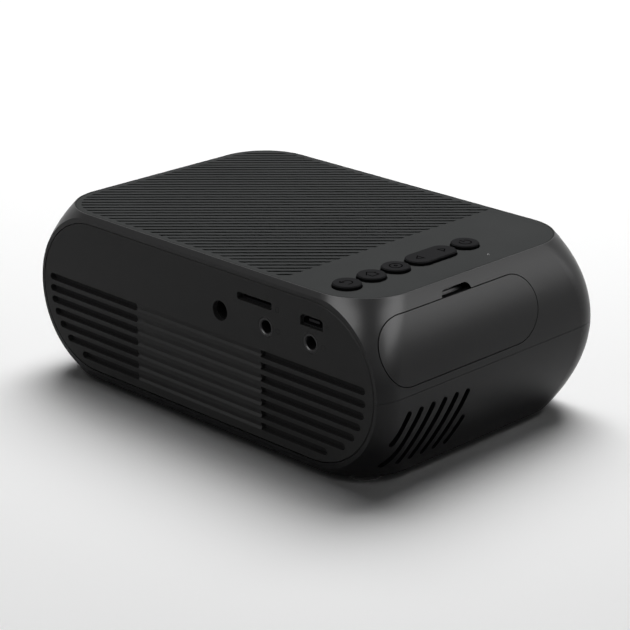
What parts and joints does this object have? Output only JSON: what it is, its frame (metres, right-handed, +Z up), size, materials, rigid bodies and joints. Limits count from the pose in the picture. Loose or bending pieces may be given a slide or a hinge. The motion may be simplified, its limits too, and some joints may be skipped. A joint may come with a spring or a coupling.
{
  "type": "portable projector",
  "caption": "Small battery LED projector with bulged gloss housing, ribbed top with keys, vented side panels with sockets, focus ring and pull-off battery door.",
  "frame": {"origin": "under the middle of the body, at the undersides of the feet", "axes": "+X to the side with the power, AV and card sockets, +Y to the rear with the battery door, +Z up; the lens looks along -Y"},
  "size_m": [0.0866, 0.1376, 0.0521],
  "materials": {
    "gloss_black": "polished moulded shell",
    "charcoal": "satin ribbed panel",
    "side_black": "matte moulded panel",
    "key_black": "matte key cap",
    "ring_black": "matte ring",
    "inner_black": "matte moulding",
    "switch_black": "matte plunger",
    "switch_steel": "stamped",
    "board": "lacquered circuit board",
    "lamp": "phosphor on a ceramic base",
    "clear_plastic": "clear moulding",
    "cell_wrap": "shrink wrap",
    "contact_metal": "nickel plated",
    "screw_steel": "zinc plated",
    "socket_black": "matte moulding",
    "socket_steel": "stamped shell",
    "lens_glass": "coated",
    "sink_aluminium": "extruded",
    "dust_net": "fine dark net",
    "cone_paper": "pressed paper",
    "foot_rubber": "matte",
    "tripod_brass": "turned"
  },
  "bodies": {
    "housing": {"upper_shell": "gloss_black", "lower_shell": "gloss_black", "top_panel": "charcoal", "port_panel": "side_black", "video_panel": "side_black", "battery_cell": "cell_wrap", "battery_contacts": "contact_metal", "key_switches": "switch_steel", "key_board": "board", "indicator_led": "lamp", "light_pipe": "clear_plastic", "main_board": "board", "side_board": "board", "board_screws": "screw_steel", "dc_jack": "socket_black", "dc_pin": "contact_metal", "av_jack": "socket_black", "headphone_jack": "socket_black", "card_slot": "socket_steel", "micro_usb_socket": "socket_steel", "hdmi_socket": "socket_steel", "usb_socket": "socket_steel", "guide_tube": "inner_black", "lens_bezel": "gloss_black", "engine_case": "inner_black", "engine_lid": "inner_black", "rear_fresnel_lens": "lens_glass", "picture_panel": "lens_glass", "front_fresnel_lens": "lens_glass", "condenser_holder": "inner_black", "condenser_lens": "lens_glass", "led_module": "lamp", "heat_sink": "sink_aluminium", "fan_frame": "inner_black", "speaker_frame": "screw_steel", "speaker_cone": "cone_paper", "feet": "foot_rubber", "case_screws": "screw_steel", "tripod_nut": "tripod_brass", "vent_screens": "dust_net"},
    "back_key": {"back_key": "key_black", "back_plunger": "switch_black"},
    "home_key": {"home_key": "key_black", "home_plunger": "switch_black"},
    "ok_key": {"ok_key": "key_black", "ok_plunger": "switch_black"},
    "power_key": {"power_key": "key_black", "power_plunger": "switch_black"},
    "rocker_key": {"rocker_key": "key_black", "rocker_plunger_a": "switch_black", "rocker_plunger_b": "switch_black"},
    "focus_ring": {"focus_ring": "ring_black"},
    "lens_barrel": {"lens_barrel": "inner_black", "lens_retainer": "inner_black", "front_lens": "lens_glass", "rear_lens": "lens_glass", "follower_pins": "screw_steel"},
    "fan_rotor": {"fan_rotor": "inner_black"},
    "battery_door": {"battery_door": "gloss_black"}
  },
  "joints": [
    {"name": "back_press", "type": "slide", "parent": "housing", "child": "back_key", "axis": [0, 0, 1], "range_m": [-0.0003, 0], "stiffness_N_per_m": 400, "springref_m": 0.0005},
    {"name": "home_press", "type": "slide", "parent": "housing", "child": "home_key", "axis": [0, 0, 1], "range_m": [-0.0003, 0], "stiffness_N_per_m": 400, "springref_m": 0.0005},
    {"name": "ok_press", "type": "slide", "parent": "housing", "child": "ok_key", "axis": [0, 0, 1], "range_m": [-0.0003, 0], "stiffness_N_per_m": 400, "springref_m": 0.0005},
    {"name": "power_press", "type": "slide", "parent": "housing", "child": "power_key", "axis": [0, 0, 1], "range_m": [-0.0003, 0], "stiffness_N_per_m": 400, "springref_m": 0.0005},
    {"name": "rocker_tilt", "type": "hinge", "parent": "housing", "child": "rocker_key", "pos_m": [0.00204, 0.04745, 0.0487], "axis": [0, 1, 0], "range_deg": [-2.5, 2.5], "stiffness_Nm_per_rad": 0.03},
    {"name": "focus_turn", "type": "hinge", "parent": "housing", "child": "focus_ring", "pos_m": [-0.005, -0.063, 0.02665], "axis": [0, 1, 0], "range_deg": [-60, 60]},
    {"name": "lens_slide", "type": "slide", "parent": "housing", "child": "lens_barrel", "axis": [0, 1, 0], "range_m": [-0.001, 0.001]},
    {"name": "fan_spin", "type": "hinge", "parent": "housing", "child": "fan_rotor", "pos_m": [-0.005, 0.043, 0.024], "axis": [0, 1, 0], "continuous": true},
    {"name": "battery_door_pull", "type": "slide", "parent": "housing", "child": "battery_door", "axis": [0, 1, 0], "range_m": [0, 0.02]}
  ],
  "couplings": [
    {"joint": "focus_turn", "follows": "lens_slide", "rad_per_m": -1047.2}
  ]
}
